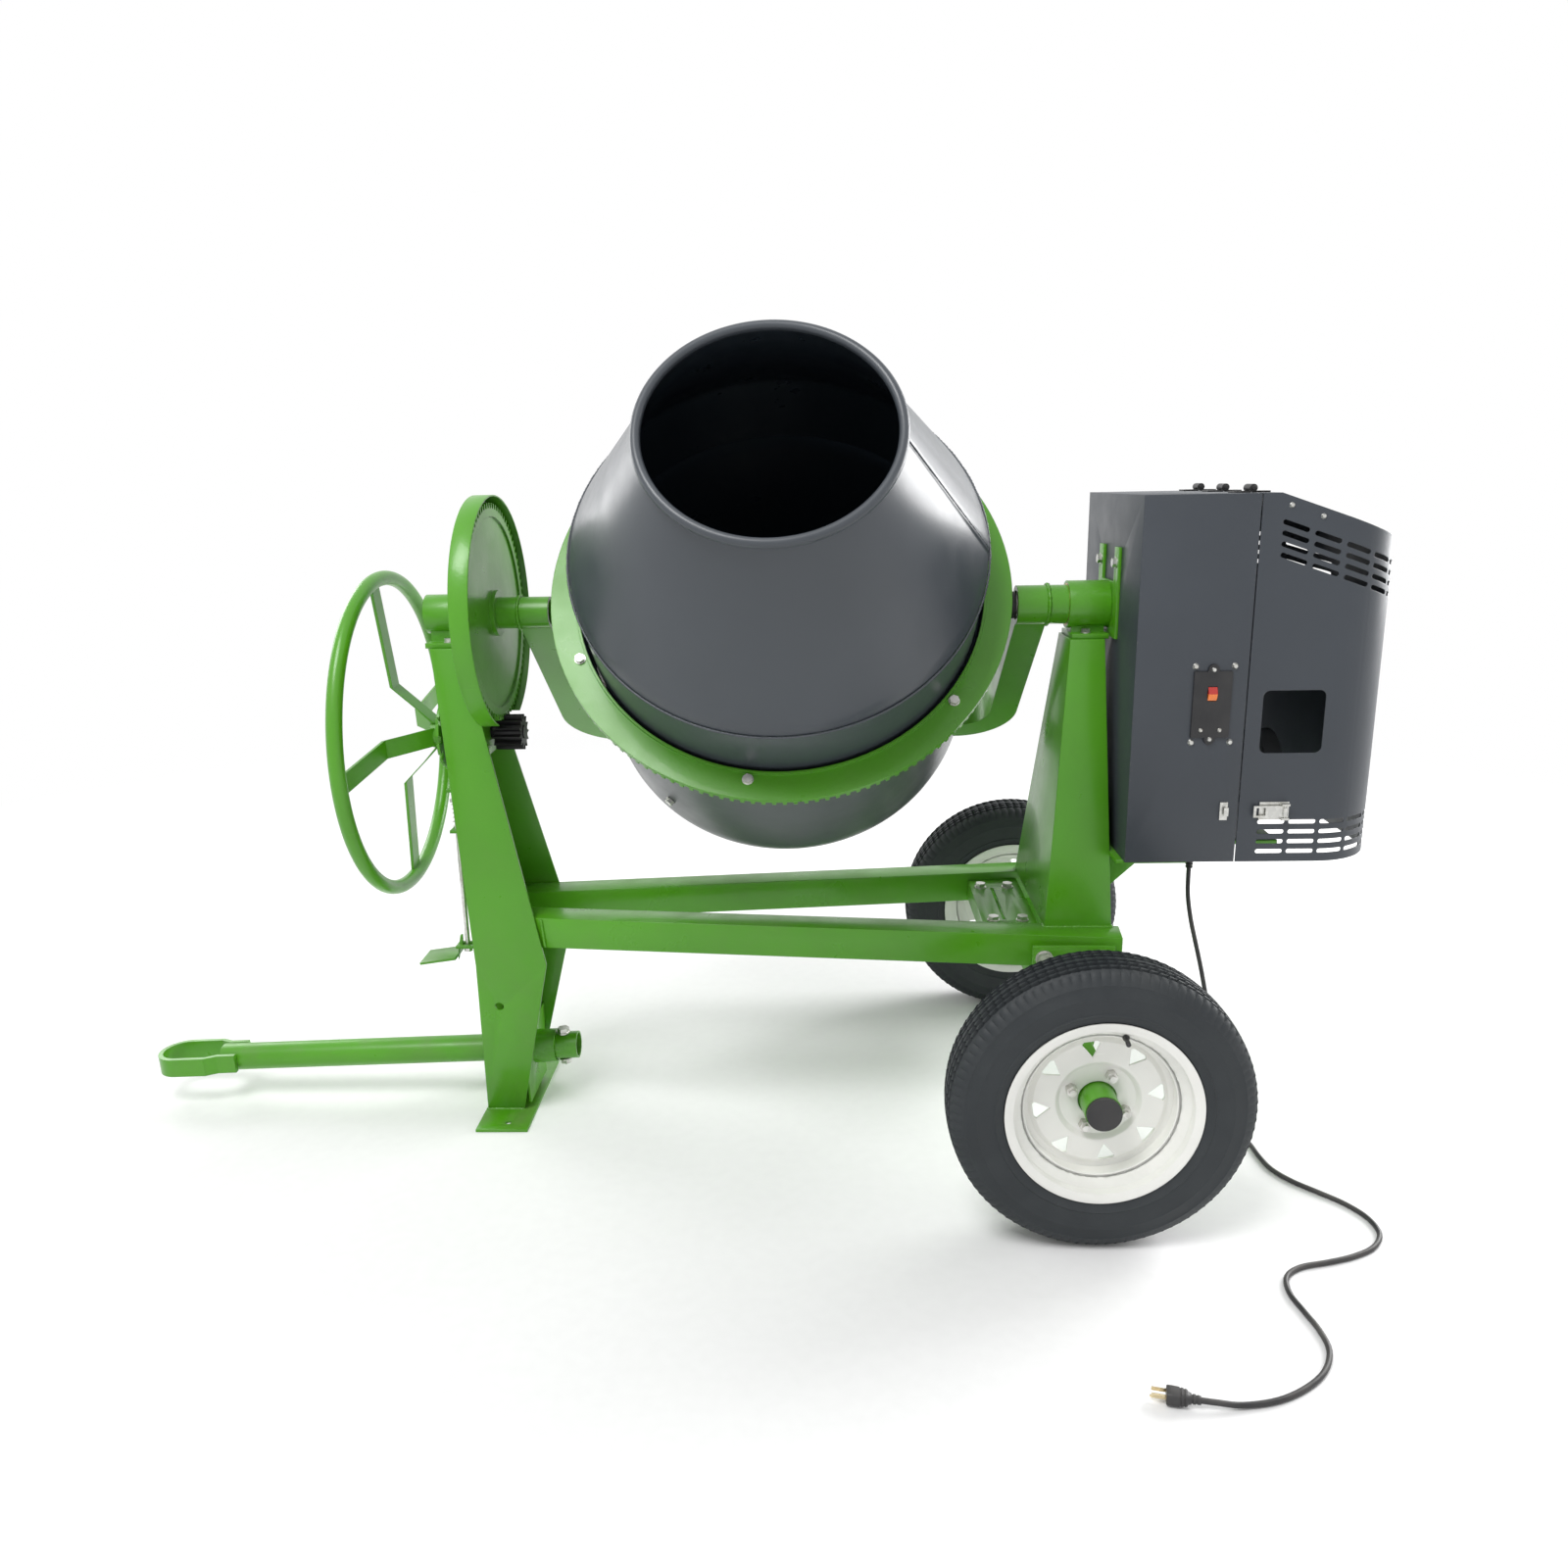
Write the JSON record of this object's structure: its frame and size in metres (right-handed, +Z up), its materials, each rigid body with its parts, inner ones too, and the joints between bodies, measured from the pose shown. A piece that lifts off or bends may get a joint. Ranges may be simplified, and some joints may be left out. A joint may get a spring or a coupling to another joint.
{
  "type": "concrete mixer",
  "caption": "Towable tilting-drum concrete mixer: ring gear driven steel drum in a bail, handwheel tilt, boxed electric drive, stand and road wheels.",
  "frame": {"origin": "on the ground, under the middle of the machine's bounding box", "axes": "+Z up, +X from the tow eye to the motor hood, +Y away from the side with the switch and latch"},
  "size_m": [2.5232, 1.4703, 1.5632],
  "materials": {
    "green_paint": "gloss lime green paint",
    "grey_paint": "satin dark grey paint",
    "zinc": "zinc plated steel",
    "paddle_steel": "bare mild steel, dulled",
    "cast_grey": "grey painted casting",
    "black_iron": "black cast iron",
    "black_paint": "satin black paint",
    "bronze": "bearing bronze",
    "black_plastic": "moulded black plastic",
    "red_plastic": "glossy red plastic",
    "rubber": "flexible black rubber",
    "tyre": "black tyre rubber",
    "white_paint": "gloss off-white paint"
  },
  "bodies": {
    "frame": {"stand_pedestal": "green_paint", "stand_foot": "green_paint", "tow_sleeve": "green_paint", "tow_bar": "green_paint", "rails": "green_paint", "cross_plate": "green_paint", "column": "green_paint", "motor_platform": "green_paint", "axle_brackets": "green_paint", "axle": "green_paint", "frame_bolts": "zinc", "left_housing": "green_paint", "right_housing": "green_paint", "trunnion_bushes": "bronze", "gear_guard": "green_paint", "handwheel_bearing": "green_paint", "box_bracket": "green_paint", "drive_box": "grey_paint", "box_hinges": "black_paint", "box_fittings": "zinc", "switch_plate": "black_plastic", "motor": "cast_grey", "drive_belt": "rubber", "cord_gland": "rubber", "power_cord": "rubber", "plug": "rubber", "lock_guides": "green_paint", "lock_spring": "zinc"},
    "yoke": {"bail": "green_paint", "left_trunnion": "green_paint", "right_trunnion": "green_paint", "tilt_gear": "green_paint", "shaft_bearings": "zinc"},
    "drum": {"drum_bowl": "grey_paint", "drum_cone": "grey_paint", "ring_gear": "green_paint", "drum_bolts": "zinc", "mixing_paddles": "paddle_steel", "drum_spindle": "zinc"},
    "drive_line": {"drive_shaft": "zinc", "drive_pinion": "black_iron", "drive_pulley": "cast_grey"},
    "motor_pulley_body": {"motor_pulley": "cast_grey"},
    "hood_body": {"hood": "grey_paint", "hood_fittings": "black_paint"},
    "latch_body": {"hood_latch": "zinc"},
    "rocker_body": {"rocker_switch": "red_plastic"},
    "handwheel_body": {"handwheel": "green_paint", "tilt_pinion": "black_iron", "lock_plate": "green_paint"},
    "pedal_body": {"lock_pedal": "green_paint"},
    "rod_body": {"lock_rod": "zinc"},
    "near_wheel": {"near_tyre": "tyre", "near_rim": "white_paint", "near_hub": "green_paint", "near_wheel_nuts": "zinc"},
    "far_wheel": {"far_tyre": "tyre", "far_rim": "white_paint", "far_hub": "green_paint", "far_wheel_nuts": "zinc"}
  },
  "joints": [
    {"name": "drum_tilt", "type": "hinge", "parent": "frame", "child": "yoke", "pos_m": [0.135, 0, 1.0625], "axis": [1, 0, 0], "range_deg": [-190.36, 83.57]},
    {"name": "drum_spin", "type": "hinge", "parent": "yoke", "child": "drum", "pos_m": [0.135, 0, 1.0625], "axis": [0, -0.7955, 0.606], "continuous": true},
    {"name": "shaft_spin", "type": "hinge", "parent": "yoke", "child": "drive_line", "pos_m": [0.5815, 0, 1.0625], "axis": [1, 0, 0], "continuous": true},
    {"name": "motor_pulley_spin", "type": "hinge", "parent": "frame", "child": "motor_pulley_body", "pos_m": [0.8375, 0, 0.722], "axis": [1, 0, 0], "continuous": true},
    {"name": "hood_open", "type": "hinge", "parent": "frame", "child": "hood_body", "pos_m": [0.9825, 0, 1.28], "axis": [0, -1, 0], "range_deg": [0, 100]},
    {"name": "latch_turn", "type": "hinge", "parent": "hood_body", "child": "latch_body", "pos_m": [1.0645, -0.226, 0.699], "axis": [0, 0, 1], "range_deg": [0, 110]},
    {"name": "rocker_turn", "type": "hinge", "parent": "frame", "child": "rocker_body", "pos_m": [0.9185, -0.217, 0.92], "axis": [1, 0, 0], "range_deg": [-8, 8]},
    {"name": "handwheel_turn", "type": "hinge", "parent": "frame", "child": "handwheel_body", "pos_m": [-0.5685, 0, 0.82], "axis": [1, 0, 0], "range_deg": [-545, 1235]},
    {"name": "pedal_press", "type": "hinge", "parent": "frame", "child": "pedal_body", "pos_m": [-0.4685, 0, 0.404], "axis": [0, 1, 0], "range_deg": [0, 8.9]},
    {"name": "rod_slide", "type": "slide", "parent": "frame", "child": "rod_body", "axis": [0, 0, 1], "range_m": [0, 0.0125], "deforming": ["lock_spring"]},
    {"name": "near_wheel_spin", "type": "hinge", "parent": "frame", "child": "near_wheel", "pos_m": [0.6815, -0.4935, 0.2625], "axis": [0, 1, 0], "continuous": true},
    {"name": "far_wheel_spin", "type": "hinge", "parent": "frame", "child": "far_wheel", "pos_m": [0.6815, 0.4935, 0.2625], "axis": [0, 1, 0], "continuous": true}
  ],
  "couplings": [
    {"joint": "shaft_spin", "follows": "drum_spin", "ratio": -7.2},
    {"joint": "motor_pulley_spin", "follows": "drum_spin", "ratio": -57.96},
    {"joint": "handwheel_turn", "follows": "drum_tilt", "ratio": -6.4615},
    {"joint": "rod_slide", "follows": "pedal_press", "m_per_rad": 0.08}
  ]
}
